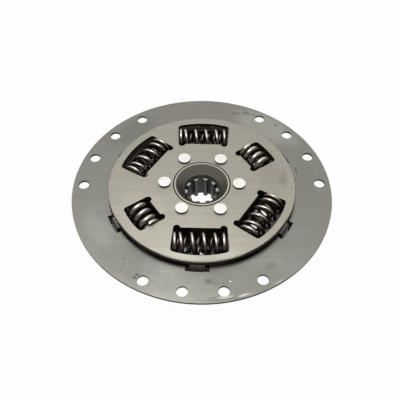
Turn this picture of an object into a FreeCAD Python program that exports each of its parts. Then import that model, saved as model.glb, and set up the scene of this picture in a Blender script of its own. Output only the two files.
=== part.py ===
import FreeCAD, Part
import math
import os

# Torsional damper clutch disc, in millimetres. The axis is +Z and the drive plate's top face is z = 0.
# Angles are in degrees from +X. The hub side of the disc is turned by hub_turn against the bolt pattern.

# Drive plate: the thin outer plate that bolts to the flywheel.
plate_radius = 165.0
plate_thickness = 3.0
bolt_hole_radius = 6.75
bolt_rim_distance = 13.5
bolt_groups = 3
bolts_per_group = 4
bolt_spacing_angle = 18.0
first_group_angle = 30.0

# Side plates: two thick plates riveted to the hub flange, one on each side of the drive plate.
side_thickness = 5.0
side_gap = 5.3
side_bore_clearance = 1.1
front_rim_width = 9.8
rear_overhang = 4.7

# Hub. Its flange is out of sight between the side plates and has flat sides.
hub_turn = -2.0
hub_length = 45.8
boss_radius = 35.1
hub_lip_width = 2.7
dish_depth = 9.8
recess_depth = 4.0
recess_clearance = 0.78
spline_teeth = 10
spline_major_radius = 22.22
spline_minor_radius = 18.0
spline_groove_width = 7.0
spline_tooth_angle = 5.2
flange_edge_width = 2.7
flange_sides = 24

# Rivets. They repeat, so they are drawn with flat sides to keep the part light.
rivet_count = 6
rivet_shank_radius = 6.0
rivet_head_radius = 8.0
rivet_head_height = 2.8
rivet_head_land = 3.1
rivet_clearance = 0.1
rivet_shank_sides = 8
rivet_head_sides = 16

# Friction rings between the side plates and the drive plate. They are out of sight and have flat sides.
running_gap = 0.3
flange_clearance = 0.4
friction_clearance = 1.5
friction_width = 9.0
friction_window_distance = 2.5
friction_ring_sides = 16

# Springs. Each long spring has a thinner one inside it, wound the other way. A phase is the part of a turn
# from the start of the wire to the first time it passes the top.
spring_outer_radius = 16.5
spring_edge_clearance = 0.5
spring_end_clearance = 0.3
long_wire = 4.8
long_turns = 5.8
long_phases = (0.625, 0.375, 0.25, 0.5)
inner_spring_clearance = 1.4
inner_wire = 3.6
inner_turns = 9.0
inner_phases = (0.625, 0.5, 0.25, 0.625)
inner_coil_steps = 6
short_wire = 7.6
short_turns = 3.9
short_phases = (0.875, 0.875)
coil_steps = 8
wire_sides = 4
closed_coil_gap = 0.2
ground_share = 0.3

# Spring windows, seen from the disc's centre. The front plate's have relief notches. The other two plates'
# are plain and follow the springs closely.
long_window_angles = (90.0, 148.0, 270.0, 328.0)
long_window_half_width = 32.4
long_window_flare = 2.0
long_window_headroom = 5.5
short_window_angles = (35.4, 215.4)
short_window_half_width = 20.4
short_window_flare = 0.0
short_window_headroom = 1.5
window_corner = 2.0
notch_radius = 4.2
notch_offset = 0.4
drive_window_clearance = 1.8

# Stop tabs, bent up from the rear plate into slots of the drive plate.
tab_count = 6
first_tab_angle = 29.0
tab_width = 18.0
tab_setback = 2.0
tab_rise = 1.2
tab_bend = 5.5
tab_relief = 1.5
stop_angle = 2.3
slot_inner_clearance = 3.0
slot_outer_clearance = 3.8

# Heights that follow from the sizes above.
front_bottom = side_gap
front_top = front_bottom + side_thickness
rear_top = -plate_thickness - side_gap
rear_bottom = rear_top - side_thickness
hub_bottom = front_top - hub_length
recess_top = front_top - dish_depth
spline_top = recess_top - recess_depth
spring_height = -plate_thickness / 2
reach = 5.0

# Radii that follow, from the hub outwards.
dish_radius = boss_radius - hub_lip_width
recess_radius = spline_major_radius + recess_clearance
side_bore_radius = boss_radius + side_bore_clearance
rivet_circle_radius = side_bore_radius + rivet_head_land + rivet_head_radius
flange_radius = rivet_circle_radius + rivet_shank_radius + flange_edge_width
friction_inner_radius = flange_radius + friction_clearance
friction_outer_radius = friction_inner_radius + friction_width
window_inner_edge = friction_outer_radius + friction_window_distance
spring_circle_radius = window_inner_edge + spring_edge_clearance + spring_outer_radius
spring_reach_radius = spring_circle_radius + spring_outer_radius
inner_spring_radius = spring_outer_radius - long_wire - inner_spring_clearance
long_window_radius = spring_reach_radius + long_window_headroom
short_window_radius = spring_reach_radius + short_window_headroom
front_radius = long_window_radius + front_rim_width
rear_radius = front_radius + rear_overhang
tab_outer_radius = rear_radius - tab_setback
tab_inner_radius = tab_outer_radius - side_thickness
slot_inner_radius = tab_inner_radius - slot_inner_clearance
slot_outer_radius = tab_outer_radius + slot_outer_clearance
slot_half_angle = math.degrees(math.atan(tab_width / 2 / tab_inner_radius)) + stop_angle
bolt_circle_radius = plate_radius - bolt_rim_distance

up = FreeCAD.Vector(0, 0, 1)
centre = FreeCAD.Vector(0, 0, 0)


def point(x, y, z=0.0):
    return FreeCAD.Vector(x, y, z)


def turned(shape, angle):
    copy = shape.copy()
    copy.rotate(centre, up, angle)
    return copy


def disc(radius, bottom, top):
    return Part.makeCylinder(radius, top - bottom, point(0, 0, bottom))


def ring(inner, outer, bottom, top):
    return disc(outer, bottom, top).cut(disc(inner, bottom, top))


def prism(radius, sides, bottom, top):
    angles = [2 * math.pi * side / sides for side in range(sides)]
    corners = [point(radius * math.cos(angle), radius * math.sin(angle), bottom) for angle in angles]
    face = Part.Face(Part.makePolygon(corners + corners[:1]))
    return face.extrude(point(0, 0, top - bottom))


def revolved(profile):
    corners = [point(radius, 0, height) for radius, height in profile]
    face = Part.Face(Part.makePolygon(corners + corners[:1]))
    return face.revolve(centre, up, 360)


def extruded(edges, bottom, top):
    face = Part.Face(Part.Wire(edges))
    face.translate(point(0, 0, bottom))
    return face.extrude(point(0, 0, top - bottom))


def upright_edges(solid, smallest_radius):
    found = []
    for edge in solid.Edges:
        ends = [vertex.Point for vertex in edge.Vertexes]
        if len(ends) < 2 or abs(ends[0].z - ends[1].z) < reach / 2:
            continue
        if math.hypot(ends[0].x, ends[0].y) > smallest_radius:
            found.append(edge)
    return found


def outer_corners(outer_radius, half_width, flare):
    corner_x = math.sqrt(outer_radius ** 2 - (half_width + flare) ** 2)
    return point(corner_x, half_width + flare), point(corner_x, -half_width - flare)


def notched_window(edge_radius, outer_radius, half_width, flare, bottom, top):
    notch_x = edge_radius + notch_offset
    notch_y = half_width - notch_radius
    foot_y = notch_y - math.sqrt(notch_radius ** 2 - notch_offset ** 2)
    foot = point(edge_radius, foot_y)
    lower_foot = point(edge_radius, -foot_y)
    side = point(notch_x, half_width)
    lower_side = point(notch_x, -half_width)
    corner, lower_corner = outer_corners(outer_radius, half_width, flare)
    edges = [
        Part.makeLine(lower_foot, foot),
        Part.Arc(foot, point(notch_x - notch_radius, notch_y), side).toShape(),
        Part.makeLine(side, corner),
        Part.Arc(corner, point(outer_radius, 0), lower_corner).toShape(),
        Part.makeLine(lower_corner, lower_side),
        Part.Arc(lower_side, point(notch_x - notch_radius, -notch_y), lower_foot).toShape(),
    ]
    solid = extruded(edges, bottom, top)
    return solid.makeChamfer(window_corner, upright_edges(solid, (edge_radius + outer_radius) / 2))


def plain_window(half_depth, half_width, bottom, top):
    corner = point(spring_circle_radius - half_depth, -half_width, bottom)
    return Part.makeBox(2 * half_depth, 2 * half_width, top - bottom, corner)


def at_all_windows(long_tool, short_tool):
    tools = [turned(long_tool, angle) for angle in long_window_angles]
    return tools + [turned(short_tool, angle) for angle in short_window_angles]


def notched_windows(bottom, top):
    long_tool = notched_window(
        window_inner_edge, long_window_radius, long_window_half_width, long_window_flare, bottom, top)
    short_tool = notched_window(
        window_inner_edge, short_window_radius, short_window_half_width, short_window_flare, bottom, top)
    return at_all_windows(long_tool, short_tool)


def plain_windows(half_depth, bottom, top):
    long_tool = plain_window(half_depth, long_window_half_width, bottom, top)
    short_tool = plain_window(half_depth, short_window_half_width, bottom, top)
    return at_all_windows(long_tool, short_tool)


def around(shape, count, first_angle=0.0):
    return [turned(shape, first_angle + 360.0 * index / count) for index in range(count)]


def rivet_holes(bottom, top):
    hole = prism(rivet_shank_radius + rivet_clearance, rivet_shank_sides, bottom, top)
    hole.translate(point(rivet_circle_radius, 0))
    return around(hole, rivet_count)


def stop_slots():
    low = -plate_thickness - reach
    wedge = Part.makeCylinder(slot_outer_radius, reach - low, point(0, 0, low), up, 2 * slot_half_angle)
    slot = turned(wedge.cut(disc(slot_inner_radius, low, reach)), -slot_half_angle)
    return around(slot, tab_count, first_tab_angle + hub_turn)


def bolt_holes():
    hole = disc(bolt_hole_radius, -plate_thickness - reach, reach)
    hole.translate(point(bolt_circle_radius, 0))
    holes = []
    for group in range(bolt_groups):
        group_angle = first_group_angle + 360.0 * group / bolt_groups
        for index in range(bolts_per_group):
            offset = (index - (bolts_per_group - 1) / 2) * bolt_spacing_angle
            holes.append(turned(hole, group_angle + offset))
    return holes


def make_drive_plate():
    plate = ring(flange_radius + flange_clearance, plate_radius, -plate_thickness, 0)
    windows = plain_windows(spring_outer_radius + drive_window_clearance, -plate_thickness - reach, reach)
    openings = [turned(tool, hub_turn) for tool in windows]
    return plate.cut(openings + stop_slots() + bolt_holes())


def make_front_plate():
    plate = ring(side_bore_radius, front_radius, front_bottom, front_top)
    windows = notched_windows(front_bottom - reach, front_top + reach)
    return plate.cut(windows + rivet_holes(front_bottom, front_top))


def make_stop_tab():
    bend_start = tab_outer_radius - tab_bend
    root = bend_start - reach
    middle = tab_bend * math.sqrt(0.5)
    below_bend = point(bend_start, 0, rear_bottom)
    bend_middle = point(bend_start + middle, 0, rear_bottom + tab_bend - middle)
    above_bend = point(tab_outer_radius, 0, rear_bottom + tab_bend)
    corners = [
        above_bend,
        point(tab_outer_radius, 0, tab_rise),
        point(tab_inner_radius, 0, tab_rise),
        point(tab_inner_radius, 0, rear_top),
        point(root, 0, rear_top),
        point(root, 0, rear_bottom),
        below_bend,
    ]
    outline = [Part.Arc(below_bend, bend_middle, above_bend).toShape()]
    outline += [Part.makeLine(start, end) for start, end in zip(corners, corners[1:])]
    face = Part.Face(Part.Wire(outline))
    face.translate(point(0, -tab_width / 2))
    return face.extrude(point(0, tab_width))


def make_rear_plate():
    plate = ring(side_bore_radius, rear_radius, rear_bottom, rear_top)
    relief_width = tab_width + 2 * tab_relief
    relief_start = tab_outer_radius - tab_bend
    relief_length = rear_radius - relief_start + reach
    relief = Part.makeBox(
        relief_length, relief_width, side_thickness, point(relief_start, -relief_width / 2, rear_bottom))
    spring_half_width = math.sqrt(spring_outer_radius ** 2 - (spring_height - rear_top) ** 2)
    windows = plain_windows(spring_half_width + spring_edge_clearance, rear_bottom - reach, rear_top + reach)
    reliefs = around(relief, tab_count, first_tab_angle)
    plate = plate.cut(windows + rivet_holes(rear_bottom, rear_top) + reliefs)
    return plate.fuse(around(make_stop_tab(), tab_count, first_tab_angle)).removeSplitter()


def spline_grooves():
    groove = Part.makeBox(
        spline_major_radius + reach, spline_groove_width, spline_top - hub_bottom,
        point(0, -spline_groove_width / 2, hub_bottom))
    first_groove = spline_tooth_angle + 180.0 / spline_teeth
    grooves = around(groove, spline_teeth, first_groove)
    return grooves[0].fuse(grooves[1:]).common(disc(spline_major_radius, hub_bottom, spline_top))


def make_hub():
    flange = prism(flange_radius, flange_sides, rear_top, front_bottom)
    flange = flange.cut([disc(dish_radius, rear_top, front_bottom)] + rivet_holes(rear_top, front_bottom))
    boss = revolved([
        (spline_minor_radius, hub_bottom),
        (boss_radius, hub_bottom),
        (boss_radius, front_top),
        (dish_radius, front_top),
        (recess_radius, recess_top),
        (recess_radius, spline_top),
        (spline_minor_radius, spline_top),
    ])
    return boss.cut(spline_grooves()).fuse(flange).removeSplitter()


def make_rivet():
    lower_head = prism(rivet_head_radius, rivet_head_sides, rear_bottom - rivet_head_height, rear_bottom)
    shank = prism(rivet_shank_radius, rivet_shank_sides, rear_bottom, front_top)
    upper_head = prism(rivet_head_radius, rivet_head_sides, front_top, front_top + rivet_head_height)
    rivet = lower_head.fuse([shank, upper_head]).removeSplitter()
    rivet.translate(point(rivet_circle_radius, 0))
    return rivet


def make_rivets():
    return Part.makeCompound(around(make_rivet(), rivet_count))


def coil_path(wire, length, turns, steps_per_turn):
    closed_pitch = wire + closed_coil_gap
    start = -length / 2 + (0.5 - ground_share) * wire
    active_pitch = (-2 * start - 2 * closed_pitch) / (turns - 2)
    steps = round(turns * steps_per_turn)
    heights = []
    for step in range(steps + 1):
        turn = step / steps_per_turn
        lower = min(turn, 1) * closed_pitch
        middle = min(max(turn - 1, 0), turns - 2) * active_pitch
        upper = max(turn - turns + 1, 0) * closed_pitch
        heights.append(start + lower + middle + upper)
    return heights


def coil_points(radius, heights, steps_per_turn, phase, hand):
    points = []
    for step, height in enumerate(heights):
        angle = hand * 2 * math.pi * (step / steps_per_turn - phase)
        points.append(point(radius * math.sin(angle), height, radius * math.cos(angle)))
    return points


def slid_onto(corner, direction, plane_point, normal):
    distance = (plane_point - corner).dot(normal) / direction.dot(normal)
    return corner + direction * distance


def wire_sections(points, wire):
    first = (points[1] - points[0]).normalize()
    outward = point(points[0].x, 0, points[0].z).normalize()
    across = first.cross(outward).normalize()
    outward = across.cross(first)
    corners = []
    for side in range(wire_sides):
        angle = 2 * math.pi * side / wire_sides
        corners.append(points[0] + (outward * math.cos(angle) + across * math.sin(angle)) * (wire / 2))
    sections = [corners]
    for index in range(1, len(points)):
        direction = (points[index] - points[index - 1]).normalize()
        normal = direction
        if index < len(points) - 1:
            normal = direction + (points[index + 1] - points[index]).normalize()
        corners = [slid_onto(corner, direction, points[index], normal) for corner in corners]
        sections.append(corners)
    return sections


def coil_solid(sections):
    faces = [Part.Face(Part.makePolygon(sections[0] + sections[0][:1]))]
    faces.append(Part.Face(Part.makePolygon(sections[-1] + sections[-1][:1])))
    for before, after in zip(sections, sections[1:]):
        for side in range(wire_sides):
            following = (side + 1) % wire_sides
            loop = [before[side], before[following], after[following], after[side], before[side]]
            faces.append(Part.Face(Part.makePolygon(loop)))
    solid = Part.makeSolid(Part.makeShell(faces))
    if solid.Volume < 0:
        solid.reverse()
    return solid


def make_spring(points, wire, length, angle):
    coil = coil_solid(wire_sections(points, wire))
    width = 2 * (spring_outer_radius + reach)
    between_ends = Part.makeBox(width, length, width, point(-width / 2, -length / 2, -width / 2))
    spring = coil.common(between_ends)
    spring.translate(point(spring_circle_radius, 0, spring_height))
    return turned(spring, angle)


def outer_spring(wire, half_width, turns, phase, angle):
    length = 2 * (half_width - spring_end_clearance)
    heights = coil_path(wire, length, turns, coil_steps)
    points = coil_points(spring_outer_radius - wire / 2, heights, coil_steps, phase, 1)
    return make_spring(points, wire, length, angle)


def inner_spring(phase, angle):
    length = 2 * (long_window_half_width - spring_end_clearance)
    heights = coil_path(inner_wire, length, inner_turns, inner_coil_steps)
    points = coil_points(inner_spring_radius - inner_wire / 2, heights, inner_coil_steps, phase, -1)
    return make_spring(points, inner_wire, length, angle)


def make_springs():
    springs = {}
    for index, angle in enumerate(long_window_angles):
        springs["long_damper_spring_%d" % (index + 1)] = outer_spring(
            long_wire, long_window_half_width, long_turns, long_phases[index], angle)
        springs["inner_damper_spring_%d" % (index + 1)] = inner_spring(inner_phases[index], angle)
    for index, angle in enumerate(short_window_angles):
        springs["short_damper_spring_%d" % (index + 1)] = outer_spring(
            short_wire, short_window_half_width, short_turns, short_phases[index], angle)
    return springs


def friction_ring(bottom, top):
    outside = prism(friction_outer_radius, friction_ring_sides, bottom, top)
    return outside.cut(prism(friction_inner_radius, friction_ring_sides, bottom, top))


def main():
    os.makedirs("parts", exist_ok=True)
    hub_side = {
        "splined_hub": make_hub(),
        "front_side_plate": make_front_plate(),
        "rear_side_plate": make_rear_plate(),
        "hub_rivets": make_rivets(),
        "front_friction_ring": friction_ring(running_gap, front_bottom),
        "rear_friction_ring": friction_ring(rear_top, -plate_thickness - running_gap),
    }
    hub_side.update(make_springs())
    for name, shape in hub_side.items():
        turned(shape, hub_turn).exportStep("parts/%s.step" % name)
    make_drive_plate().exportStep("parts/drive_plate.step")


main()
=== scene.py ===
"""Looks of a torsional damper clutch disc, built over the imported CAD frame.

Blender works in metres, in the frame's own coordinates: the disc's axis is +Z and z = 0 is the drive plate's
top face. The sizes below are in millimetres and the angles in degrees. Each sub-assembly is a class that
builds its meshes, dresses them and puts them on their body.
"""

import logging
import math
from collections.abc import Callable, Sequence
from dataclasses import dataclass, replace
from enum import Enum

import bmesh
import bpy
from mathutils import Matrix, Vector


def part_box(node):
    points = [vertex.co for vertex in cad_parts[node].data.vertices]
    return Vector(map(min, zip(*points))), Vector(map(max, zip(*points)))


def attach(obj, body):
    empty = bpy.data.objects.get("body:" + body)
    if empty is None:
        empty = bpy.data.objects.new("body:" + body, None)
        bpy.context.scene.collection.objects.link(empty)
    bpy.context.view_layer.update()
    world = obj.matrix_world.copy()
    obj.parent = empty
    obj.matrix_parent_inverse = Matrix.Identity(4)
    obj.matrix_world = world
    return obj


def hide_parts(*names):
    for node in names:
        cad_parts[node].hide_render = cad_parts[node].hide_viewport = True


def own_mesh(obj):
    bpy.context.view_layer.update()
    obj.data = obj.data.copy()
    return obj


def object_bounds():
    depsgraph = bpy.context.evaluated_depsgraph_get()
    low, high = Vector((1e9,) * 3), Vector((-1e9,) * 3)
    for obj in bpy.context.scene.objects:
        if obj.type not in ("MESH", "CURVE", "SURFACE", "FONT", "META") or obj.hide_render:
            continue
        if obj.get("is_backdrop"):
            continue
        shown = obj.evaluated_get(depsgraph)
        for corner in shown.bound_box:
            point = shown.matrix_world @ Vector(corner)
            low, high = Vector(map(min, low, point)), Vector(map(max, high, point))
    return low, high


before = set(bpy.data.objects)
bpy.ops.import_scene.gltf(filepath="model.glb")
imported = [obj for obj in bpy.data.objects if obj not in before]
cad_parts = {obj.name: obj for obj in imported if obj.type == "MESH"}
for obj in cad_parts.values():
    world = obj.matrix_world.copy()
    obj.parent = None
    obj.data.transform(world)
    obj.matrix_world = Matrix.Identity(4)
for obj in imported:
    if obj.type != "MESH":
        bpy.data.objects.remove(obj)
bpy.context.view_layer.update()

MM = 0.001
# The hub side stands turned by this much against the bolt holes.
HUB_TURN = -2.0
# A face lies flat when its normal has more of Z than this.
FLAT = 0.9
LOG = logging.getLogger("clutch_disc")

Colour = tuple[float, float, float]
Shade = tuple[int, int, int]
Place = tuple[float, float]
Piece = bpy.types.Object
Material = bpy.types.Material
Node = bpy.types.Node
Socket = bpy.types.NodeSocket
Sockets = bpy.types.bpy_prop_collection
Tree = bpy.types.NodeTree


class Body(Enum):
    """The two rigid bodies of the disc."""

    HUB_SIDE = "hub_side"
    DRIVE_PLATE = "drive_plate"


class Grain(Enum):
    """How the tool marks run over a piece."""

    ROLLED = "rolled lines"
    TURNED = "turned rings"
    DRAWN = "drawn wire"


def linear(shade: Shade) -> Colour:
    """Turns a colour as it shows on a screen into the shader's linear values, by the sRGB curve.

    Args:
        shade: Red, green and blue, 0 to 255.

    Returns:
        The three linear values.
    """
    shares = (value / 255 for value in shade)
    return tuple(share / 12.92 if share <= 0.04045 else ((share + 0.055) / 1.055) ** 2.4 for share in shares)


def rgba(colour: Colour) -> tuple[float, float, float, float]:
    """Adds a full alpha to a colour."""
    return (*colour, 1.0)


class NodeSheet:
    """A thin helper that adds and links the nodes of one tree."""

    def __init__(self, tree: Tree) -> None:
        """Keeps the tree."""
        self.tree = tree

    @classmethod
    def blank(cls, owner: Material | bpy.types.World) -> "NodeSheet":
        """Turns on the nodes of a material or a world and empties them.

        Args:
            owner: The material or the world.

        Returns:
            Its empty sheet.
        """
        owner.use_nodes = True
        owner.node_tree.nodes.clear()
        return cls(owner.node_tree)

    def feed(self, target: Socket, value: object) -> None:
        """Links a socket to an input, or sets a plain value on it.

        Args:
            target: The input.
            value: An output socket, or a number, vector or colour.
        """
        if isinstance(value, Socket):
            self.tree.links.new(value, target)
        else:
            target.default_value = value

    def add(self, kind: str, *values: object, **settings: object) -> Node:
        """Adds a node.

        Args:
            kind: The node's Blender type name.
            values: What its inputs get, in their order.
            settings: Properties set on the new node.

        Returns:
            The new node.
        """
        node = self.tree.nodes.new(kind)
        for name, value in settings.items():
            setattr(node, name, value)
        for target, value in zip(node.inputs, values):
            self.feed(target, value)
        return node

    def named(self, node: Node, **inputs: object) -> Node:
        """Feeds a node's inputs by their names.

        Args:
            node: The node.
            inputs: What the inputs get, with underscores for the spaces in their names.

        Returns:
            The same node.
        """
        for name, value in inputs.items():
            self.feed(node.inputs[name.replace("_", " ")], value)
        return node

    def group(self, tree: Tree, **inputs: object) -> Socket:
        """Adds a node group with its named inputs, and gives its result."""
        return self.named(self.add("ShaderNodeGroup", node_tree=tree), **inputs).outputs[0]

    def math(self, operation: str, *values: object) -> Socket:
        """Adds a Math node, and gives its result."""
        return self.add("ShaderNodeMath", *values, operation=operation).outputs[0]

    def vector(self, operation: str, *values: object) -> Node:
        """Adds a Vector Math node."""
        return self.add("ShaderNodeVectorMath", *values, operation=operation)

    def noise(self, vector: Socket, scale: object, detail: float, roughness: float = 0.5) -> Socket:
        """Adds a Noise texture, and gives its value."""
        node = self.add("ShaderNodeTexNoise")
        return self.named(node, Vector=vector, Scale=scale, Detail=detail, Roughness=roughness).outputs[0]

    def ramp(self, value: Socket, low: object, high: object, start: float = 0.0, end: float = 1.0) -> Socket:
        """Adds a smooth Map Range, in which the value low gives start and the value high gives end."""
        values = (value, low, high, start, end)
        return self.add("ShaderNodeMapRange", *values, interpolation_type="SMOOTHSTEP").outputs[0]

    def blend(self, share: Socket, first: object, second: object) -> Socket:
        """Mixes two colours.

        Args:
            share: How much of the second colour shows.
            first: The first colour, as a socket or as linear values.
            second: The second colour, likewise.

        Returns:
            The mixed colour.
        """
        node = self.add("ShaderNodeMix", share, data_type="RGBA")
        # The Mix node keeps its two colours at 6 and 7, and the mixed one at 2.
        for place, colour in ((6, first), (7, second)):
            self.feed(node.inputs[place], rgba(colour) if isinstance(colour, tuple) else colour)
        return node.outputs[2]

    def from_axis(self, parts: Sockets) -> Socket:
        """Gives the distance from the disc's axis of a place that is split into X, Y and Z."""
        squares = self.math("ADD", self.math("POWER", parts[0], 2.0), self.math("POWER", parts[1], 2.0))
        return self.math("SQRT", squares)


def new_group(name: str, inputs: dict[str, str], output: str) -> tuple[NodeSheet, Sockets, Sockets]:
    """Starts a shader node group.

    Args:
        name: The group's name.
        inputs: The kind of each input by its name.
        output: The name of its one value output.

    Returns:
        The group's sheet, the values given to it, and the sockets that take its result.
    """
    tree = bpy.data.node_groups.new(name, "ShaderNodeTree")
    for socket, kind in inputs.items():
        tree.interface.new_socket(socket, in_out="INPUT", socket_type=f"NodeSocket{kind}")
    tree.interface.new_socket(output, in_out="OUTPUT", socket_type="NodeSocketFloat")
    sheet = NodeSheet(tree)
    return sheet, sheet.add("NodeGroupInput").outputs, sheet.add("NodeGroupOutput").inputs


class Effects:
    """The surface effects that several finishes share, each built once as a node group."""

    grain_inputs: dict[str, str] = {"Vector": "Vector", "Fineness": "Float", "Length": "Float"}
    broad_grain: float = 0.14
    ring_drift: float = 0.4
    cloud_reach: Place = (0.35, 0.7)
    patch_edge: Place = (1.05, 0.45)
    speck_edge: Place = (0.12, 0.2)

    def __init__(self) -> None:
        """Builds the groups."""
        self.grain = {
            Grain.ROLLED: self._rolled_grain(),
            Grain.TURNED: self._turned_grain(),
            Grain.DRAWN: self._drawn_grain(),
        }
        self.mottle = self._mottle()
        self.painted_wall_shade = self._steep("painted_wall_shade", both_ways=True)
        self.painted_flank_shade = self._steep("painted_flank_shade", both_ways=False)
        self.patch = self._patch()
        self.specks = self._specks()

    def _rolled_grain(self) -> Tree:
        """Builds long straight lines, as sheet keeps from the rolls and the belt grinder.

        Returns:
            The group.
        """
        sheet, given, made = new_group("rolled_grain", self.grain_inputs, "Grain")
        spread = sheet.add("ShaderNodeCombineXYZ", given["Length"], given["Fineness"], given["Length"])
        scaled = sheet.vector("MULTIPLY", given["Vector"], spread.outputs[0]).outputs[0]
        fine = sheet.noise(scaled, 1.0, detail=4.0, roughness=0.65)
        broad = sheet.noise(scaled, self.broad_grain, detail=3.0, roughness=0.6)
        sheet.feed(made[0], sheet.math("MULTIPLY", sheet.math("ADD", fine, broad), 0.5))
        return sheet.tree

    def _turned_grain(self) -> Tree:
        """Builds rings about the axis, as a lathe tool leaves.

        Returns:
            The group.
        """
        sheet, given, made = new_group("turned_grain", self.grain_inputs, "Grain")
        parts = sheet.add("ShaderNodeSeparateXYZ", given["Vector"]).outputs
        radius = sheet.math("MULTIPLY", sheet.from_axis(parts), given["Fineness"])
        turn = sheet.math("MULTIPLY", sheet.math("ARCTAN2", parts[1], parts[0]), self.ring_drift)
        height = sheet.math("MULTIPLY", parts[2], given["Fineness"])
        rings = sheet.add("ShaderNodeCombineXYZ", radius, turn, height).outputs[0]
        sheet.feed(made[0], sheet.noise(rings, 1.0, detail=3.0))
        return sheet.tree

    def _drawn_grain(self) -> Tree:
        """Builds the fine uneven skin of drawn and oiled wire.

        Returns:
            The group.
        """
        sheet, given, made = new_group("drawn_grain", self.grain_inputs, "Grain")
        sheet.feed(made[0], sheet.noise(given["Vector"], given["Fineness"], detail=4.0))
        return sheet.tree

    def _mottle(self) -> Tree:
        """Builds soft cloudy patches, as handling and old oil leave.

        Returns:
            The group.
        """
        sheet, given, made = new_group("mottle", {"Vector": "Vector", "Scale": "Float"}, "Mask")
        cloud = sheet.noise(given["Vector"], given["Scale"], detail=5.0, roughness=0.6)
        sheet.feed(made[0], sheet.ramp(cloud, *self.cloud_reach))
        return sheet.tree

    def _steep(self, name: str, both_ways: bool) -> Tree:
        """Builds a mask of the surface that doesn't look up, which takes painted shade: the walls and the
        coils' flanks.

        Args:
            name: The group's name.
            both_ways: Whether what looks down is left out as well.

        Returns:
            The group.
        """
        sheet, given, made = new_group(name, {"Start": "Float", "End": "Float"}, "Mask")
        normal = sheet.add("ShaderNodeNewGeometry").outputs["Normal"]
        up = sheet.add("ShaderNodeSeparateXYZ", normal).outputs[2]
        if both_ways:
            up = sheet.math("ABSOLUTE", up)
        sheet.feed(made[0], sheet.ramp(up, given["Start"], given["End"], 1.0, 0.0))
        return sheet.tree

    def _patch(self) -> Tree:
        """Builds one ragged oval mark at a chosen place.

        Returns:
            The group.
        """
        inputs = dict.fromkeys(("Vector", "Centre", "Turn", "Size"), "Vector")
        inputs |= dict.fromkeys(("Raggedness", "Fineness"), "Float")
        sheet, given, made = new_group("patch", inputs, "Mask")
        placing = (given["Vector"], given["Centre"], given["Turn"], given["Size"])
        placed = sheet.add("ShaderNodeMapping", *placing, vector_type="TEXTURE").outputs[0]
        reach = sheet.vector("LENGTH", placed).outputs["Value"]
        rag = sheet.noise(given["Vector"], given["Fineness"], detail=4.0, roughness=0.7)
        shift = sheet.math("MULTIPLY", sheet.math("SUBTRACT", rag, 0.5), given["Raggedness"])
        sheet.feed(made[0], sheet.ramp(sheet.math("ADD", reach, shift), *self.patch_edge))
        return sheet.tree

    def _specks(self) -> Tree:
        """Builds small scattered dots and nicks.

        Returns:
            The group.
        """
        inputs = {"Vector": "Vector", "Scale": "Float", "Amount": "Float"}
        sheet, given, made = new_group("specks", inputs, "Mask")
        cells = sheet.add("ShaderNodeTexVoronoi", feature="F1")
        sheet.named(cells, Vector=given["Vector"], Scale=given["Scale"])
        chance = sheet.add("ShaderNodeSeparateColor", cells.outputs["Color"]).outputs[0]
        near = sheet.ramp(cells.outputs["Distance"], *self.speck_edge, 1.0, 0.0)
        chosen = sheet.math("LESS_THAN", chance, given["Amount"])
        sheet.feed(made[0], sheet.math("MULTIPLY", near, chosen))
        return sheet.tree


@dataclass(frozen=True)
class MarkOrPaintedLight:
    """One stain, scuff or scratch, or one broad patch of painted reflection or shade, at its own place on a
    flat face.
    """

    centre: Place
    size: Place
    turn: float
    colour: Shade
    strength: float
    raggedness: float = 1.2
    fineness: float = 260.0
    speckle: float = 0.0


@dataclass(frozen=True)
class PaintedLightBand:
    """A ring of painted shade or painted light between two radii, which may fade in from one Y of the plan to
    another.
    """

    inner: float
    outer: float
    colour: Shade
    strength: float
    soft: float = 0.8
    fade_in: Place | None = None


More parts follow.
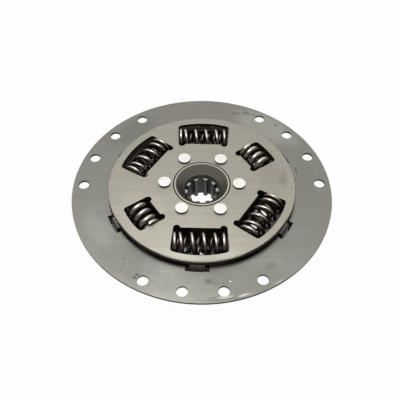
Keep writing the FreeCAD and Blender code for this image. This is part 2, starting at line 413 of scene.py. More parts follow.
@dataclass(frozen=True)
class MetalFinish:
    """One finish: its colours, its gloss, the marks that tools and use left on it, and its patches of painted
    light and shade.

    Fineness and the scales count the cells of the noise in a metre. The speck colour is linear.
    """

    name: str
    colour: Shade
    dark_patches: Shade
    metallic: float
    roughness: float
    grain: Grain
    fineness: float
    grain_tone: float
    grain_depth: float
    patch_scale: float
    patch_strength: float
    grain_length: float = 1.0
    wall_shade: Shade | None = None
    wall_shade_strength: float = 1.0
    wall_slope: Place = (0.2, 0.75)
    wall_roughness: float = 0.25
    flank_shade: Shade | None = None
    flank_shade_reach: Place = (0.8, 1.0)
    speck_scale: float = 420.0
    speck_amount: float = 0.0
    speck_colour: Colour = (0.05, 0.045, 0.04)
    mark_speck_scale: float = 620.0
    mark_depth: float = 20.0
    grain_reach: Place = (0.25, 0.75)
    cloud_gloss: Place = (-0.04, 0.06)
    bump_distance: float = 0.05
    marks_and_painted_light: tuple[MarkOrPaintedLight, ...] = ()
    painted_light_bands: tuple[PaintedLightBand, ...] = ()
    deep_painted_light_bands: tuple[PaintedLightBand, ...] = ()

    def material(self, effects: Effects) -> Material:
        """Builds the finish as a material.

        Args:
            effects: The shared node groups.

        Returns:
            The material.
        """
        material = bpy.data.materials.new(self.name)
        sheet = NodeSheet.blank(material)
        place = sheet.add("ShaderNodeTexCoord").outputs["Object"]
        grain = sheet.group(
            effects.grain[self.grain], Vector=place, Fineness=self.fineness, Length=self.grain_length)
        cloud = sheet.group(effects.mottle, Vector=place, Scale=self.patch_scale)
        patches = sheet.math("MULTIPLY", cloud, self.patch_strength)
        colour = sheet.blend(patches, linear(self.colour), linear(self.dark_patches))
        tone = sheet.ramp(grain, *self.grain_reach, 1.0 - self.grain_tone, 1.0 + self.grain_tone)
        colour = sheet.named(sheet.vector("SCALE", colour), Scale=tone).outputs[0]
        # Bands of painted light and shade, below the marks.
        colour = self._banded(sheet, place, colour, self.painted_light_bands)
        colour = self._marked(sheet, effects, place, colour)
        if self.speck_amount > 0:
            specks = sheet.group(
                effects.specks, Vector=place, Scale=self.speck_scale, Amount=self.speck_amount)
            colour = sheet.blend(specks, colour, self.speck_colour)
        rough = sheet.ramp(cloud, 0.0, 1.0, *(self.roughness + change for change in self.cloud_gloss))
        # Painted shade on the coils' flanks, which leaves the light colour only on the crests as a painted
        # highlight.
        if self.flank_shade:
            flank_shade = sheet.group(effects.painted_flank_shade, Start=self.flank_shade_reach[0], End=self.flank_shade_reach[1])
            colour = sheet.blend(flank_shade, colour, linear(self.flank_shade))
        # Painted shade on the walls and the other faces that don't look up.
        if self.wall_shade:
            shaded_walls = sheet.group(effects.painted_wall_shade, Start=self.wall_slope[0], End=self.wall_slope[1])
            share = sheet.math("MULTIPLY", shaded_walls, self.wall_shade_strength)
            colour = sheet.blend(share, colour, linear(self.wall_shade))
            rough = sheet.math("ADD", rough, sheet.math("MULTIPLY", share, self.wall_roughness))
        # Deep bands of painted light and shade, laid over everything else.
        colour = self._banded(sheet, place, colour, self.deep_painted_light_bands)
        bump = sheet.named(
            sheet.add("ShaderNodeBump"),
            Strength=self.grain_depth,
            Distance=self.bump_distance * MM,
            Height=grain,
        )
        surface = sheet.named(
            sheet.add("ShaderNodeBsdfPrincipled"),
            Base_Color=colour,
            Roughness=rough,
            Metallic=self.metallic,
            Normal=bump.outputs[0],
        )
        sheet.add("ShaderNodeOutputMaterial", surface.outputs[0])
        return material

    def _banded(self, sheet: NodeSheet, place: Socket, colour: Socket, painted_light_bands: Sequence[PaintedLightBand]) -> Socket:
        """Lays bands of painted light and shade over a colour.

        Args:
            sheet: The material's sheet.
            place: The object coordinates.
            colour: The colour below.
            painted_light_bands: The bands, the first one lowest.

        Returns:
            The colour with its bands.
        """
        if not painted_light_bands:
            return colour
        parts = sheet.add("ShaderNodeSeparateXYZ", place).outputs
        radius = sheet.from_axis(parts)
        for band in painted_light_bands:
            opens = sheet.ramp(radius, (band.inner - band.soft) * MM, (band.inner + band.soft) * MM)
            closes = sheet.ramp(
                radius, (band.outer - band.soft) * MM, (band.outer + band.soft) * MM, 1.0, 0.0)
            share = sheet.math("MULTIPLY", sheet.math("MULTIPLY", opens, closes), band.strength)
            if band.fade_in:
                fade = sheet.ramp(parts[1], band.fade_in[0] * MM, band.fade_in[1] * MM)
                share = sheet.math("MULTIPLY", share, fade)
            colour = sheet.blend(share, colour, linear(band.colour))
        return colour

    def _marked(self, sheet: NodeSheet, effects: Effects, place: Socket, colour: Socket) -> Socket:
        """Lays the finish's own marks and patches of painted light and shade over a colour.

        Args:
            sheet: The material's sheet.
            effects: The shared node groups.
            place: The object coordinates.
            colour: The colour below.

        Returns:
            The colour with its marks.
        """
        for mark in self.marks_and_painted_light:
            patch = sheet.group(
                effects.patch,
                Vector=place,
                Centre=(mark.centre[0] * MM, mark.centre[1] * MM, 0.0),
                Turn=(0.0, 0.0, math.radians(mark.turn)),
                Size=(mark.size[0] * MM, mark.size[1] * MM, self.mark_depth * MM),
                Raggedness=mark.raggedness,
                Fineness=mark.fineness,
            )
            share = sheet.math("MULTIPLY", patch, mark.strength)
            if mark.speckle > 0:
                specks = sheet.group(
                    effects.specks, Vector=place, Scale=self.mark_speck_scale, Amount=mark.speckle)
                share = sheet.math("MULTIPLY", share, specks)
            colour = sheet.blend(share, colour, linear(mark.colour))
        return colour


class Editing:
    """Holds one object in edit mode and picks its faces and edges by their place."""

    def __init__(self, piece: Piece) -> None:
        """Keeps the piece."""
        self.piece = piece

    def __enter__(self) -> "Editing":
        """Opens edit mode with nothing selected.

        Returns:
            The open edit.
        """
        select_only(self.piece)
        bpy.ops.object.mode_set(mode="EDIT")
        bpy.ops.mesh.select_all(action="DESELECT")
        return self

    def __exit__(self, *_: object) -> None:
        """Leaves edit mode."""
        bpy.ops.object.mode_set(mode="OBJECT")

    def pick_all(self) -> None:
        """Selects the whole mesh."""
        bpy.ops.mesh.select_all(action="SELECT")

    def pick_faces(self, test: Callable[[bmesh.types.BMFace], bool]) -> None:
        """Selects the faces that a test picks, and nothing else."""
        self._pick("faces", test)

    def pick_edges(self, test: Callable[[bmesh.types.BMEdge], bool]) -> None:
        """Selects the edges that a test picks, and nothing else."""
        self._pick("edges", test)

    def _pick(self, kind: str, test: Callable[[object], bool]) -> None:
        """Selects elements of one kind.

        Args:
            kind: "faces" or "edges".
            test: Says whether an element is picked.
        """
        bpy.ops.mesh.select_mode(type="FACE" if kind == "faces" else "EDGE")
        bpy.ops.mesh.select_all(action="DESELECT")
        mesh = bmesh.from_edit_mesh(self.piece.data)
        for element in getattr(mesh, kind):
            if test(element):
                element.select_set(True)
        mesh.select_flush(True)
        bmesh.update_edit_mesh(self.piece.data)

    def extrude(self, rise: float) -> None:
        """Extrudes what is selected along Z by a rise in metres."""
        bpy.ops.mesh.extrude_region_move(TRANSFORM_OT_translate={"value": (0, 0, rise)})


def select_only(*pieces: Piece) -> None:
    """Selects these pieces alone and makes the first one active.

    Args:
        pieces: The pieces.
    """
    bpy.ops.object.select_all(action="DESELECT")
    for piece in pieces:
        piece.select_set(True)
    bpy.context.view_layer.objects.active = pieces[0]


def fix_in_place(piece: Piece) -> None:
    """Applies a piece's modifiers and its transform, so that its place is in its mesh.

    Args:
        piece: The piece.
    """
    select_only(piece)
    for modifier in list(piece.modifiers):
        bpy.ops.object.modifier_apply(modifier=modifier.name)
    bpy.ops.object.transform_apply(location=True, rotation=True, scale=True)


def joined(pieces: Sequence[Piece], name: str) -> Piece:
    """Joins pieces into one object.

    Args:
        pieces: The pieces, in place.
        name: The name of the joined object.

    Returns:
        The joined object.
    """
    select_only(*pieces)
    bpy.ops.object.join()
    whole = bpy.context.view_layer.objects.active
    whole.name = name
    whole.data.name = name
    return whole


def smooth(piece: Piece, angle: float) -> None:
    """Shades a piece smooth but for the edges sharper than an angle in degrees."""
    select_only(piece)
    bpy.ops.object.shade_smooth_by_angle(angle=math.radians(angle))


def dress(piece: Piece, material: Material, body: Body, node: str) -> None:
    """Gives a finished piece its material and puts it on its body.

    Args:
        piece: The finished piece.
        material: Its material.
        body: The body that it rides on.
        node: The CAD node that it stands for.
    """
    piece.data.materials.clear()
    piece.data.materials.append(material)
    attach(piece, body.value)
    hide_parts(node)
    LOG.info("%s: %d faces", piece.name, len(piece.data.polygons))


@dataclass
class FinishedPlate:
    """A CAD piece with its sheared or turned edges eased, as they are on the real disc."""

    node: str
    name: str
    slot: str
    body: Body
    finish: MetalFinish
    ease: float
    segments: int = 2
    merge: float = 0.002
    flat_angle: float = 0.6
    edge_angle: float = 38.0

    def build(self, effects: Effects) -> Piece:
        """Copies the CAD mesh, merges its triangles and eases its edges.

        Args:
            effects: The shared node groups.

        Returns:
            The finished piece.
        """
        piece = bpy.data.objects.new(self.name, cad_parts[self.node].data.copy())
        piece.data.name = self.name
        bpy.context.scene.collection.objects.link(piece)
        with Editing(piece) as editing:
            editing.pick_all()
            bpy.ops.mesh.remove_doubles(threshold=self.merge * MM)
            bpy.ops.mesh.dissolve_limited(angle_limit=math.radians(self.flat_angle))
            bpy.ops.mesh.customdata_custom_splitnormals_clear()
        bevel = piece.modifiers.new("eased_edges", "BEVEL")
        bevel.width = self.ease * MM
        bevel.segments = self.segments
        bevel.limit_method = "ANGLE"
        bevel.angle_limit = math.radians(self.edge_angle)
        bevel.harden_normals = True
        bevel.use_clamp_overlap = True
        smooth(piece, self.edge_angle)
        fix_in_place(piece)
        dress(piece, self.finish.material(effects), self.body, self.node)
        return piece


@dataclass
class SpringSet:
    """One kind of coil spring, with closed and ground ends, each lying along the disc in its window."""

    name: str
    finish: MetalFinish
    angles: tuple[float, ...]
    phases: tuple[float, ...]
    wire: float
    turns: float
    length: float
    outer_radius: float = 16.5
    hand: int = 1
    circle_radius: float = 86.0
    height: float = -1.5
    twist_limit: float = 2.2
    closed_gap: float = 0.2
    ground_share: float = 0.3
    merge: float = 0.02
    smooth_angle: float = 40.0
    steps: int = 28
    wire_points: int = 16

    @property
    def coil_radius(self) -> float:
        """The radius of the wire's centre line."""
        return self.outer_radius - self.wire / 2

    def build(self, effects: Effects) -> list[Piece]:
        """Builds the springs of this kind.

        Args:
            effects: The shared node groups.

        Returns:
            The springs.
        """
        material = self.finish.material(effects)
        windows = enumerate(zip(self.angles, self.phases), start=1)
        return [self._spring(index, angle + HUB_TURN, phase, material) for index, (angle, phase) in windows]

    def _spring(self, index: int, angle: float, phase: float, material: Material) -> Piece:
        """Winds one spring, grinds its ends and lays it in its window.

        Args:
            index: Its number in the set.
            angle: The direction of its window from the axis.
            phase: The share of a turn by which its wire starts back.
            material: The springs' material.

        Returns:
            The finished spring.
        """
        pitch = self.wire + self.closed_gap
        start = -self.length / 2 + (0.5 - self.ground_share) * self.wire
        active = self.turns - 2
        rise = -2 * start - 2 * pitch
        stretches = [
            self._wind(0.0 - phase, 1.0, start, pitch),
            self._wind(1.0 - phase, active, start + pitch, rise),
            self._wind(1.0 + active - phase, 1.0, start + pitch + rise, pitch),
        ]
        spring = joined(stretches, f"{self.name}_coil_{index}")
        self._close_ends(spring)
        along = math.radians(angle)
        out, up = self.circle_radius * MM, self.height * MM
        lying = Matrix(((0, 1, 0, out), (0, 0, 1, 0), (1, 0, 0, up), (0, 0, 0, 1)))
        spring.matrix_world = Matrix.Rotation(along, 4, "Z") @ lying
        fix_in_place(spring)
        smooth(spring, self.smooth_angle)
        dress(spring, material, Body.HUB_SIDE, f"{self.name}_damper_spring_{index}")
        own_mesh(spring)
        return spring

    def _wind(self, first_turn: float, turns: float, start: float, rise: float) -> Piece:
        """Screws the wire's section up one stretch of the coil.

        Args:
            first_turn: Where round the coil this stretch starts, in turns.
            turns: The turns of this stretch.
            start: The height at which it starts.
            rise: How far it climbs.

        Returns:
            The wound stretch.
        """
        around = self.hand * 2 * math.pi * first_turn
        radius = self.coil_radius
        bpy.ops.mesh.primitive_circle_add(
            vertices=self.wire_points,
            radius=self.wire / 2 * MM,
            location=(radius * math.cos(around) * MM, radius * math.sin(around) * MM, start * MM),
            rotation=(math.pi / 2, 0.0, around),
        )
        stretch = bpy.context.object
        fix_in_place(stretch)
        screw = stretch.modifiers.new("winding", "SCREW")
        screw.axis = "Z"
        screw.angle = self.hand * 2 * math.pi * turns
        screw.screw_offset = rise * MM
        screw.steps = round(self.steps * turns)
        screw.render_steps = screw.steps
        screw.use_smooth_shade = True
        screw.use_merge_vertices = False
        fix_in_place(stretch)
        return stretch

    def _close_ends(self, spring: Piece) -> None:
        """Merges the stretches, caps the wire and grinds both ends flat.

        Args:
            spring: The joined coil, along Z.
        """
        with Editing(spring) as editing:
            editing.pick_all()
            bpy.ops.mesh.remove_doubles(threshold=self.merge * MM)
            editing.pick_all()
            bpy.ops.mesh.fill_holes(sides=0)
            editing.pick_all()
            bpy.ops.mesh.normals_make_consistent(inside=False)
            for side in (-1, 1):
                editing.pick_all()
                end = (0.0, 0.0, side * self.length / 2 * MM)
                bpy.ops.mesh.bisect(plane_co=end, plane_no=(0.0, 0.0, side), use_fill=True, clear_outer=True)


@dataclass
class RivetSet:
    """The six rivets that hold the side plates to the hub's flange."""

    finish: MetalFinish
    count: int = 6
    circle_radius: float = 47.3
    shank_radius: float = 6.0
    head_radius: float = 8.0
    head_height: float = 2.8
    head_ease: float = 0.4
    ease_segments: int = 3
    ease_profile: float = 0.6
    crown: float = 0.06
    crown_insets: Place = (1.6, 2.6)
    end_corners: int = 20
    rim_tolerance: float = 0.01
    smooth_angle: float = 32.0
    points: int = 48

    def build(self, effects: Effects) -> Piece:
        """Models one rivet, copies it round the hub and joins the set.

        Args:
            effects: The shared node groups.

        Returns:
            The rivets as one piece.
        """
        back, front = (corner.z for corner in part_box("front_side_plate"))
        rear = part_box("rear_friction_ring")[0].z - (front - back)
        first = self._model(front, rear)
        rivets = [first]
        for index in range(1, self.count):
            copy = first.copy()
            copy.data = first.data.copy()
            bpy.context.scene.collection.objects.link(copy)
            copy.matrix_world = Matrix.Rotation(2 * math.pi * index / self.count, 4, "Z")
            fix_in_place(copy)
            rivets.append(copy)
        whole = joined(rivets, "rivets")
        smooth(whole, self.smooth_angle)
        dress(whole, self.finish.material(effects), Body.HUB_SIDE, "hub_rivets")
        return whole

    def _model(self, front: float, rear: float) -> Piece:
        """Models the first rivet in place.

        Args:
            front: The height of the front plate's outer face.
            rear: The height of the rear plate's outer face.

        Returns:
            The rivet.
        """
        tall = self.head_height * MM
        along = math.radians(HUB_TURN)
        out = (self.circle_radius * math.cos(along) * MM, self.circle_radius * math.sin(along) * MM)
        bpy.ops.mesh.primitive_cylinder_add(
            vertices=self.points, radius=self.head_radius * MM, depth=tall, location=(*out, front + tall / 2))
        rivet = bpy.context.object
        fix_in_place(rivet)
        with Editing(rivet) as editing:
            editing.pick_faces(lambda face: face.normal.z < -FLAT)
            bpy.ops.mesh.inset(thickness=(self.head_radius - self.shank_radius) * MM, depth=0)
            editing.extrude(rear - front)
            editing.extrude(0)
            grow = self.head_radius / self.shank_radius
            bpy.ops.transform.resize(value=(grow, grow, 1.0))
            editing.extrude(-tall)
            for side, level in ((1, front + tall), (-1, rear - tall)):
                self._round_head(editing, side, level)
        return rivet

    def _round_head(self, editing: Editing, side: int, level: float) -> None:
        """Eases one head's rim and crowns its end.

        Args:
            editing: The rivet's open edit.
            side: 1 for the front head, -1 for the rear one.
            level: The height of the head's end.
        """
        near = self.rim_tolerance * MM
        editing.pick_edges(lambda edge: all(abs(vertex.co.z - level) < near for vertex in edge.verts))
        bpy.ops.mesh.bevel(
            offset=self.head_ease * MM,
            segments=self.ease_segments,
            profile=self.ease_profile,
            affect="EDGES",
        )
        editing.pick_faces(lambda face: face.normal.z * side > FLAT and len(face.verts) > self.end_corners)
        for inset, rise in zip(self.crown_insets, (self.crown, self.crown / 2)):
            bpy.ops.mesh.inset(thickness=inset * MM, depth=rise * MM)


@dataclass
class FrictionPack:
    """The two friction rings that sit out of sight between the plates."""

    finish: MetalFinish
    inner_radius: float = 57.5
    outer_radius: float = 66.5
    ease: float = 0.3
    ease_segments: int = 2
    smooth_angle: float = 35.0
    points: int = 96

    def build(self, effects: Effects) -> list[Piece]:
        """Turns both rings.

        Args:
            effects: The shared node groups.

        Returns:
            The rings.
        """
        material = self.finish.material(effects)
        return [self._turn(side, material) for side in ("front", "rear")]

    def _turn(self, side: str, material: Material) -> Piece:
        """Turns one ring at its CAD node's height.

        Args:
            side: "front" or "rear".
            material: The ring's material.

        Returns:
            The ring.
        """
        node = f"{side}_friction_ring"
        low, high = (corner.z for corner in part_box(node))
        bpy.ops.mesh.primitive_circle_add(
            vertices=self.points, radius=self.outer_radius * MM, fill_type="NGON", location=(0, 0, low))
        ring = bpy.context.object
        ring.name = f"{side}_lining_ring"
        fix_in_place(ring)
        with Editing(ring) as editing:
            editing.pick_all()
            bpy.ops.mesh.inset(thickness=(self.outer_radius - self.inner_radius) * MM)
            bpy.ops.mesh.delete(type="FACE")
            editing.pick_all()
            editing.extrude(high - low)
            editing.pick_all()
            bpy.ops.mesh.normals_make_consistent(inside=False)
            editing.pick_edges(lambda edge: edge.calc_face_angle(0.0) > 1.0)
            bpy.ops.mesh.bevel(offset=self.ease * MM, segments=self.ease_segments, affect="EDGES")
        smooth(ring, self.smooth_angle)
        dress(ring, material, Body.HUB_SIDE, node)
        return ring


@dataclass(frozen=True)
class LightSpot:
    """A spot of the floor that stays white inside the disc's shade."""

    centre: Place
    radius: float
    edge: float


@dataclass
class Studio:
    """The pale floor, the white world, one softbox and the camera at the photograph's angle.

    The floor's size and the softbox's size and place are in metres.
    """

    lens: float = 54.33
    sensor_width: float = 36.0
    clip_start: float = 0.01
    camera_place: tuple[float, float, float] = (-6.0, -491.6, 594.9)
    aim: tuple[float, float, float] = (-2.4, -18.4, 0.0)
    floor_size: float = 12.0
    floor_tone: float = 0.8
    floor_glow: float = 0.97
    shade_centre: Place = (0.0, 20.0)
    shade_radius: Place = (128.0, 143.0)
    light_spots: tuple[LightSpot, ...] = (
        LightSpot((0.0, 0.0), 25.0, 6.0),
        LightSpot((81.0, -12.6), 5.0, 8.0),
        LightSpot((64.4, -36.7), 5.0, 8.0),
        LightSpot((-21.0, -69.5), 1.0, 4.0),
        LightSpot((-0.7, -75.0), 0.4, 3.0),
    )
    world_fill: float = 0.56
    world_gloss: float = 0.8
    softbox_power: float = 6.4
    softbox_size: float = 0.5
    softbox_place: tuple[float, float, float] = (-0.12, 0.25, 1.42)

    def build(self) -> None:
        """Sets up the floor, the world, the softbox and the camera."""
        self._floor()
        self._world()
        self._softbox()
        self._camera()

    def _floor(self) -> None:
        """Lays the floor under the disc's lowest point, white but for the disc's shade."""
        bpy.ops.mesh.primitive_plane_add(size=self.floor_size, location=(0, 0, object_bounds()[0].z))
        floor = bpy.context.object
        floor.name = "floor"
        fix_in_place(floor)
        material = bpy.data.materials.new("pale_floor")
        sheet = NodeSheet.blank(material)
        path = sheet.add("ShaderNodeLightPath").outputs
        seen = sheet.math("MAXIMUM", path["Is Camera Ray"], path["Is Glossy Ray"])
        seen = sheet.math("MAXIMUM", seen, path["Is Transmission Ray"])
        place = sheet.add("ShaderNodeTexCoord").outputs["Object"]
        away = self._distance(sheet, place, self.shade_centre)
        lit = sheet.ramp(away, self.shade_radius[0] * MM, self.shade_radius[1] * MM)
        for spot in self.light_spots:
            away = self._distance(sheet, place, spot.centre)
            white = sheet.ramp(away, spot.radius * MM, (spot.radius + spot.edge) * MM, 1.0, 0.0)
            lit = sheet.math("MAXIMUM", lit, white)
        share = sheet.math("MULTIPLY", seen, sheet.math("MULTIPLY", lit, self.floor_glow))
        matt = sheet.add("ShaderNodeBsdfDiffuse", rgba((self.floor_tone,) * 3)).outputs[0]
        glow = sheet.named(sheet.add("ShaderNodeEmission"), Strength=1.0).outputs[0]
        sheet.add("ShaderNodeOutputMaterial", sheet.add("ShaderNodeMixShader", share, matt, glow).outputs[0])
        floor.data.materials.append(material)
        floor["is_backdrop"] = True

    def _distance(self, sheet: NodeSheet, place: Socket, centre: Place) -> Socket:
        """Measures how far a point of the floor is from a centre, in metres."""
        flat = sheet.vector("MULTIPLY", place, (1.0, 1.0, 0.0)).outputs[0]
        return sheet.vector("DISTANCE", flat, (centre[0] * MM, centre[1] * MM, 0.0)).outputs["Value"]

    def _world(self) -> None:
        """Makes the world a plain white backdrop that lights the disc gently."""
        world = bpy.data.worlds.new("studio")
        bpy.context.scene.world = world
        sheet = NodeSheet.blank(world)
        path = sheet.add("ShaderNodeLightPath").outputs
        seen = sheet.math("MAXIMUM", path["Is Camera Ray"], path["Is Transmission Ray"])
        mirrored = sheet.math("MULTIPLY", path["Is Glossy Ray"], self.world_gloss - self.world_fill)
        strength = sheet.math("ADD", sheet.math("MULTIPLY", seen, 1.0 - self.world_fill), mirrored)
        strength = sheet.math("ADD", strength, self.world_fill)
        background = sheet.add("ShaderNodeBackground", rgba((1.0, 1.0, 1.0)), strength)
        sheet.add("ShaderNodeOutputWorld", background.outputs[0])

    def _softbox(self) -> None:
        """Hangs the softbox above and behind the disc, and turns it to the disc."""
        bpy.ops.object.light_add(type="AREA", location=self.softbox_place)
        softbox = bpy.context.object
        softbox.name = "softbox"
        softbox.data.size = self.softbox_size
        softbox.data.energy = self.softbox_power
        softbox.rotation_euler = (-Vector(self.softbox_place)).to_track_quat("-Z", "Y").to_euler()

    def _camera(self) -> None:
        """Puts the camera where the photograph was taken from."""
        place = Vector(self.camera_place) * MM
        towards = Vector(self.aim) * MM - place
        bpy.ops.object.camera_add(location=place, rotation=towards.to_track_quat("-Z", "Y").to_euler())
        camera = bpy.context.object
        camera.data.lens = self.lens
        camera.data.sensor_width = self.sensor_width
        camera.data.clip_start = self.clip_start
        bpy.context.scene.camera = camera


# Each mark gives its centre, size, turn, colour, strength, raggedness and fineness.
DRIVE_PLATE_MARKS_AND_PAINTED_LIGHT = (
    # The first six, broad and soft, are painted reflection and shade: lighter at the left edge and the far
    # right, darker at the near side, the far left and the right.
    MarkOrPaintedLight((20.0, -140.0), (90.0, 34.0), 4.0, (118, 118, 110), 0.6, 1.0, 30.0),
    MarkOrPaintedLight((-86.0, -112.0), (52.0, 34.0), -42.0, (122, 123, 116), 0.75, 1.0, 30.0),
    MarkOrPaintedLight((-128.0, -62.0), (16.0, 40.0), 30.0, (168, 168, 162), 0.25, 1.0, 30.0),
    MarkOrPaintedLight((-92.0, 104.0), (50.0, 22.0), 42.0, (128, 127, 120), 0.8, 1.0, 30.0),
    MarkOrPaintedLight((88.0, 112.0), (62.0, 28.0), -38.0, (166, 165, 158), 0.8, 0.6, 30.0),
    MarkOrPaintedLight((134.0, 10.0), (16.0, 60.0), 0.0, (134, 133, 126), 0.6, 1.0, 30.0),
    MarkOrPaintedLight((49.0, 138.0), (9.0, 3.6), -6.0, (108, 98, 84), 0.5, 1.6, 200.0),
    MarkOrPaintedLight((64.5, 138.5), (8.0, 4.0), -20.0, (104, 94, 80), 0.55, 1.6, 200.0),
    MarkOrPaintedLight((75.0, 135.0), (4.0, 2.6), -24.0, (112, 104, 92), 0.5, 1.6, 300.0),
    MarkOrPaintedLight((104.3, 114.2), (3.4, 1.0), -40.0, (84, 80, 72), 0.8, 0.6),
    MarkOrPaintedLight((101.0, 96.1), (1.0, 1.0), 0.0, (226, 224, 216), 0.8, 0.3),
    MarkOrPaintedLight((123.8, 30.6), (0.9, 6.0), 4.0, (66, 62, 57), 0.85, 1.4, 600.0),
    MarkOrPaintedLight((121.8, 13.6), (0.8, 3.6), 8.0, (66, 62, 57), 0.85, 1.4, 600.0),
    MarkOrPaintedLight((120.6, 0.5), (0.7, 3.0), 4.0, (72, 68, 62), 0.8, 1.4, 600.0),
    MarkOrPaintedLight((131.0, 52.0), (1.0, 2.6), 20.0, (84, 80, 74), 0.7, 1.4, 600.0),
    MarkOrPaintedLight((6.4, -136.8), (6.0, 4.6), 10.0, (96, 95, 88), 0.75, 2.0, 320.0),
    MarkOrPaintedLight((12.0, -139.0), (8.0, 3.0), -20.0, (108, 107, 99), 0.6, 2.0, 320.0),
    MarkOrPaintedLight((78.0, -117.0), (8.0, 6.0), 30.0, (116, 116, 108), 0.5, 1.4, 160.0),
    MarkOrPaintedLight((96.5, -108.2), (1.0, 0.9), 0.0, (56, 54, 50), 0.9, 0.3),
    MarkOrPaintedLight((-17.6, -138.6), (1.0, 1.1), 0.0, (84, 82, 78), 0.8, 0.3),
    MarkOrPaintedLight((31.2, -136.9), (1.1, 1.1), 0.0, (240, 238, 232), 1.0, 0.2),
    MarkOrPaintedLight((20.4, -158.9), (24.0, 4.6), 6.0, (104, 102, 95), 0.7, 1.8, 420.0),
    MarkOrPaintedLight((2.0, -160.5), (14.0, 4.0), 2.0, (222, 220, 212), 0.9, 1.0, 500.0, speckle=0.3),
    MarkOrPaintedLight((25.0, -157.0), (11.0, 2.4), 8.0, (204, 200, 192), 0.5, 2.6, 900.0),
    MarkOrPaintedLight((46.0, -154.6), (9.0, 1.6), 16.0, (214, 210, 202), 0.6, 2.2, 900.0),
    MarkOrPaintedLight((86.0, -138.0), (9.0, 1.2), 30.0, (190, 188, 180), 0.6, 2.4, 900.0),
    MarkOrPaintedLight((-91.1, -105.8), (2.4, 0.8), 6.0, (62, 60, 56), 0.8, 0.8, 700.0),
    MarkOrPaintedLight((-92.1, -112.5), (0.8, 0.8), 0.0, (72, 70, 66), 0.8, 0.5),
    MarkOrPaintedLight((-83.3, -112.1), (1.2, 0.9), 20.0, (60, 58, 54), 0.9, 0.5),
    MarkOrPaintedLight((-76.1, -117.1), (0.7, 1.4), 0.0, (76, 74, 70), 0.7, 0.5),
    MarkOrPaintedLight((-95.2, -121.0), (2.2, 0.8), 8.0, (52, 50, 46), 0.9, 0.7, 700.0),
    MarkOrPaintedLight((-86.3, -126.8), (1.0, 0.9), 0.0, (52, 50, 46), 0.9, 0.5),
    MarkOrPaintedLight((-75.5, -127.3), (2.6, 2.2), 0.0, (80, 78, 72), 0.8, 1.8, 700.0),
    MarkOrPaintedLight((-78.5, -131.0), (2.4, 1.8), 0.0, (58, 56, 52), 0.85, 1.8, 700.0),
    MarkOrPaintedLight((-86.0, -118.0), (20.0, 16.0), -30.0, (86, 84, 80), 0.6, 0.8, 300.0, speckle=0.05),
)

FRONT_PLATE_MARKS_AND_PAINTED_LIGHT = (
    MarkOrPaintedLight((-20.1, -61.8), (1.3, 1.2), 0.0, (60, 56, 50), 0.8, 0.3),
    MarkOrPaintedLight((-8.0, 58.0), (26.0, 1.6), 2.0, (172, 164, 138), 0.5, 1.6, 120.0),
    MarkOrPaintedLight((-104.0, 26.0), (10.0, 16.0), 0.0, (112, 112, 92), 0.5, 1.0, 300.0, speckle=0.12),
    MarkOrPaintedLight((-92.0, -44.0), (7.0, 1.4), 30.0, (186, 184, 172), 0.6, 2.0, 500.0),
    MarkOrPaintedLight((60.0, 6.0), (24.0, 1.4), 0.0, (144, 138, 124), 0.6, 1.6, 120.0),
    MarkOrPaintedLight((-62.0, -24.0), (24.0, 3.0), 0.0, (176, 170, 150), 0.5, 1.4, 90.0),
    # The last four, broad and soft, are painted reflection and shade: darker on the right, lighter at the
    # near rim and on the left.
    MarkOrPaintedLight((88.0, 12.0), (26.0, 50.0), 0.0, (148, 143, 131), 0.5, 1.0, 30.0),
    MarkOrPaintedLight((104.0, 8.0), (9.0, 26.0), -6.0, (136, 128, 115), 0.5, 1.2, 60.0),
    MarkOrPaintedLight((2.0, -104.0), (64.0, 13.0), 0.0, (186, 185, 180), 0.6, 0.8, 30.0),
    MarkOrPaintedLight((-74.0, -34.0), (34.0, 60.0), 20.0, (178, 175, 162), 0.6, 1.0, 30.0),
)

DRIVE_PLATE_FINISH = MetalFinish(
    "drive_plate_steel", colour=(141, 140, 133), dark_patches=(130, 129, 121),
    # Its walls take painted shade.
    wall_shade=(36, 34, 30), wall_shade_strength=0.95,
    metallic=0.85, roughness=0.42, grain=Grain.ROLLED, fineness=1400.0, grain_length=24.0, grain_tone=0.09,
    grain_depth=0.2, patch_scale=16.0, patch_strength=0.6, speck_amount=0.008, marks_and_painted_light=DRIVE_PLATE_MARKS_AND_PAINTED_LIGHT,
    painted_light_bands=(
        # Painted shade: darker under the side plates, and near black by the front plate's rim, where its
        # shadow falls.
        PaintedLightBand(0.0, 114.0, (70, 65, 56), 0.97, 0.9),
        PaintedLightBand(113.0, 118.2, (30, 28, 24), 0.97, 0.5),
    ))

FRONT_PLATE_FINISH = MetalFinish(
    # Its walls take painted shade.
    "side_plate_steel", colour=(166, 163, 151), dark_patches=(157, 154, 141), wall_shade=(54, 51, 44),
    metallic=0.85, roughness=0.42, grain=Grain.ROLLED, fineness=1100.0, grain_length=26.0, grain_tone=0.1,
    grain_depth=0.25, patch_scale=20.0, patch_strength=0.6, speck_amount=0.006, marks_and_painted_light=FRONT_PLATE_MARKS_AND_PAINTED_LIGHT,
    painted_light_bands=(
        # Painted shade at the bore's edge by the gap to the hub and along the rim's near side, with a painted
        # highlight in the middle of the near rim.
        PaintedLightBand(0.0, 36.6, (58, 54, 47), 0.8, 0.3),
        PaintedLightBand(116.4, 120.0, (38, 36, 31), 0.95, 0.4, (-40.0, -70.0)),
        PaintedLightBand(117.0, 120.0, (150, 148, 138), 0.9, 0.2, (-104.0, -113.0)),
    ))

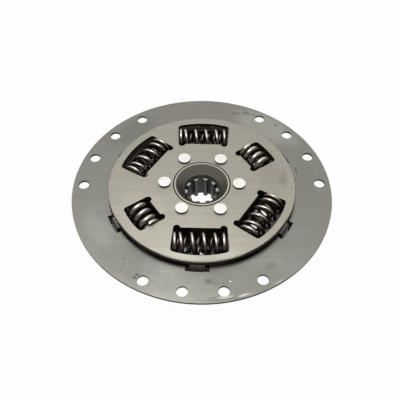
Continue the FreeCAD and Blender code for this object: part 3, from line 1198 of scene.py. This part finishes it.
REAR_PLATE_FINISH = MetalFinish(
    # A dark copy of the side plate steel, painted shade for the plate that lies deepest; its walls take
    # painted shade too.
    "shaded_side_plate_steel", colour=(76, 71, 62), dark_patches=(64, 60, 52), wall_shade=(26, 24, 20),
    metallic=0.85, roughness=0.45, grain=Grain.ROLLED, fineness=900.0, grain_length=9.0, grain_tone=0.06,
    grain_depth=0.3, patch_scale=20.0, patch_strength=0.5,
    # A painted highlight on the tabs' top faces.
    painted_light_bands=(PaintedLightBand(114.0, 118.6, (200, 197, 188), 0.95, 0.3),))

HUB_FINISH = MetalFinish(
    "hub_steel", colour=(192, 189, 178), dark_patches=(180, 176, 164),
    # The spline's walls take painted shade.
    wall_shade=(98, 99, 102), wall_shade_strength=0.85,
    metallic=0.85, roughness=0.36, grain=Grain.TURNED, fineness=1600.0, grain_tone=0.08, grain_depth=0.3,
    patch_scale=30.0, patch_strength=0.4,
    painted_light_bands=(
        # Painted shade in the dish, and a painted highlight on the ends of the far teeth.
        PaintedLightBand(0.0, 33.2, (96, 92, 84), 0.95, 0.3),
        PaintedLightBand(18.2, 21.0, (190, 188, 181), 0.9, 0.3, (-12.0, 4.0)),
    ),
    deep_painted_light_bands=(
        # Painted shade in the spline's grooves and on the flange round the hub, under the front plate.
        PaintedLightBand(21.2, 22.8, (74, 74, 75), 0.85, 0.3),
        PaintedLightBand(34.9, 60.0, (64, 60, 52), 1.0, 0.1),
    ))

RIVET_FINISH = MetalFinish(
    # Near white stands in for the softbox's reflection on the heads, a painted reflection; the sides take
    # painted shade.
    "rivet_steel", colour=(253, 251, 246), dark_patches=(248, 246, 239), wall_shade=(38, 35, 30),
    metallic=0.3, roughness=0.4, grain=Grain.DRAWN, fineness=700.0, grain_tone=0.03, grain_depth=0.1,
    patch_scale=60.0, patch_strength=0.4)

# The springs keep a light colour on their crests and painted shade on their flanks, which together draw each
# coil's highlight.
SPRING_FINISH = MetalFinish(
    "spring_steel", colour=(226, 220, 210), dark_patches=(204, 197, 186),
    metallic=1.0, roughness=0.32, grain=Grain.DRAWN, fineness=900.0, grain_tone=0.04, grain_depth=0.03,
    patch_scale=45.0, patch_strength=0.5, flank_shade=(78, 70, 63), flank_shade_reach=(0.77, 1.0))

# A darker copy of the spring steel: painted shade for the inner springs, which lie inside the long ones.
SHADED_INNER_SPRING_FINISH = replace(
    SPRING_FINISH, name="shaded_inner_spring_steel", colour=(150, 142, 132), dark_patches=(126, 118, 109),
    roughness=0.5, flank_shade=(66, 56, 48), flank_shade_reach=(0.8, 1.0))

SHORT_SPRING_FINISH = replace(
    SPRING_FINISH, name="short_spring_steel", flank_shade=(94, 87, 79), flank_shade_reach=(0.82, 1.0))

LINING_FINISH = MetalFinish(
    "friction_lining", colour=(88, 80, 70), dark_patches=(70, 63, 55),
    metallic=0.0, roughness=0.85, grain=Grain.DRAWN, fineness=1400.0, grain_tone=0.2, grain_depth=0.5,
    patch_scale=120.0, patch_strength=0.6)


# The plates and the hub keep their CAD shapes.
PLATES = (
    FinishedPlate(
        "drive_plate", "drilled_plate", "drive_plate_steel", Body.DRIVE_PLATE, DRIVE_PLATE_FINISH, ease=0.25),
    FinishedPlate(
        "front_side_plate", "front_window_plate", "side_plate_steel", Body.HUB_SIDE, FRONT_PLATE_FINISH,
        ease=0.45),
    FinishedPlate(
        "rear_side_plate", "rear_tabbed_plate", "side_plate_steel", Body.HUB_SIDE, REAR_PLATE_FINISH,
        ease=0.45),
    FinishedPlate("splined_hub", "machined_hub", "hub_steel", Body.HUB_SIDE, HUB_FINISH, ease=0.4),
)

LONG_WINDOWS = (90.0, 148.0, 270.0, 328.0)
SHORT_WINDOWS = (35.4, 215.4)

# The inner springs lie inside the long ones and are wound the other way.
SPRINGS = (
    SpringSet(
        "long", SPRING_FINISH, LONG_WINDOWS, phases=(0.625, 0.375, 0.25, 0.5),
        wire=4.8, turns=5.8, length=64.2),
    SpringSet(
        "inner", SHADED_INNER_SPRING_FINISH, LONG_WINDOWS, phases=(0.625, 0.5, 0.25, 0.625),
        wire=3.6, turns=9.0, length=64.2, outer_radius=10.3, hand=-1),
    SpringSet(
        "short", SHORT_SPRING_FINISH, SHORT_WINDOWS, phases=(0.875, 0.875),
        wire=7.6, turns=3.9, length=40.2),
)


def main() -> None:
    """Builds the disc's looks and the studio around it."""
    logging.basicConfig(level=logging.INFO, format="%(name)s: %(message)s")
    bpy.ops.object.select_all(action="DESELECT")
    effects = Effects()
    for assembly in (*PLATES, RivetSet(RIVET_FINISH), *SPRINGS, FrictionPack(LINING_FINISH)):
        assembly.build(effects)
    bpy.context.scene.view_settings.view_transform = "Standard"
    Studio().build()


if __name__ == "__main__":
    main()
